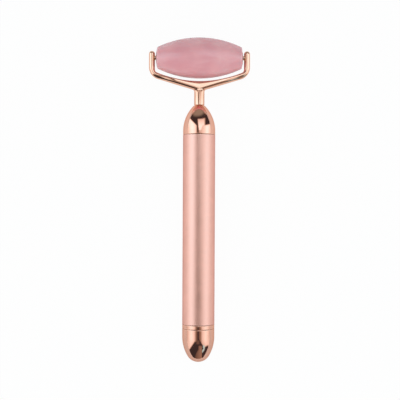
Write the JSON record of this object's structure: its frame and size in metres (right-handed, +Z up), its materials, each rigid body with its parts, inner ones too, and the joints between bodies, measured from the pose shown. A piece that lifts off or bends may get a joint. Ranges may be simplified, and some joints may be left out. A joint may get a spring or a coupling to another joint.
{
  "type": "vibrating facial roller",
  "caption": "Handheld facial roller: a polished stone barrel turns in a forked head on a slim tube that holds an AA cell and a vibration motor; the domed end cap twists to switch it.",
  "frame": {"origin": "middle of the part's length and width, at the lowest point of the stone, as the roller lies on a table", "axes": "+Y along the handle from the end cap to the stone, +X along the stone's own axis, +Z up"},
  "size_m": [0.0518, 0.1662, 0.0209],
  "materials": {
    "tube_satin": "satin rose-gold anodised aluminium, brushed along its length",
    "polished_rose": "mirror-polished rose-gold plating",
    "champagne_plate": "bright champagne-gold plating on cast zinc",
    "rose_quartz": "polished dusty-pink rose quartz, cloudy inside",
    "pin_steel": "turned steel, gold washed",
    "bushing_brass": "turned brass",
    "fastener_steel": "zinc-plated steel",
    "sleeve_plastic": "moulded white nylon",
    "holder_plastic": "moulded ivory nylon",
    "contact_gold": "gold-flashed spring brass",
    "lead_red": "PVC insulation",
    "lead_black": "PVC insulation",
    "can_steel": "drawn nickel-plated steel",
    "bell_plastic": "moulded plastic",
    "weight_tungsten": "sintered heavy metal",
    "cell_jacket": "plain dark metal jacket",
    "spring_steel": "nickel-plated spring wire",
    "seat_brass": "turned brass",
    "seal_rubber": "nitrile rubber"
  },
  "bodies": {
    "handle": {"handle_tube": "tube_satin", "nose_cap": "polished_rose", "fork": "champagne_plate", "fork_washer": "fastener_steel", "fork_nut": "fastener_steel", "left_pivot_pin": "pin_steel", "right_pivot_pin": "pin_steel", "threaded_collar": "polished_rose", "battery_sleeve": "sleeve_plastic", "contact_holder": "holder_plastic", "contact_plate": "contact_gold", "ground_clip": "contact_gold", "positive_lead": "lead_red", "negative_lead": "lead_black", "motor_carrier": "sleeve_plastic", "motor_can": "can_steel", "motor_end_bell": "bell_plastic", "motor_terminals": "contact_gold"},
    "roller": {"roller_stone": "rose_quartz", "left_bushing": "bushing_brass", "right_bushing": "bushing_brass"},
    "rotor": {"motor_shaft": "can_steel", "eccentric_weight": "weight_tungsten"},
    "cell": {"aa_cell": "cell_jacket"},
    "spring": {"cap_spring": "spring_steel"},
    "cap": {"end_cap": "polished_rose", "spring_seat": "seat_brass", "o_ring": "seal_rubber"}
  },
  "joints": [
    {"name": "roller_spin", "type": "hinge", "parent": "handle", "child": "roller", "pos_m": [0, 0.07265, 0.01045], "axis": [1, 0, 0], "continuous": true},
    {"name": "motor_spin", "type": "hinge", "parent": "handle", "child": "rotor", "pos_m": [0, 0.0333, 0.01045], "axis": [0, 1, 0], "continuous": true},
    {"name": "cell_slide", "type": "slide", "parent": "handle", "child": "cell", "axis": [0, -1, 0], "range_m": [0, 0.062]},
    {"name": "cap_travel", "type": "slide", "parent": "cell", "child": "spring", "axis": [0, -1, 0], "range_m": [0, 0.005]},
    {"name": "cap_twist", "type": "hinge", "parent": "spring", "child": "cap", "pos_m": [0, -0.0659, 0.01045], "axis": [0, -1, 0], "range_deg": [0, 1800]}
  ],
  "couplings": [
    {"joint": "cap_twist", "follows": "cap_travel", "rad_per_m": 6283.1}
  ]
}
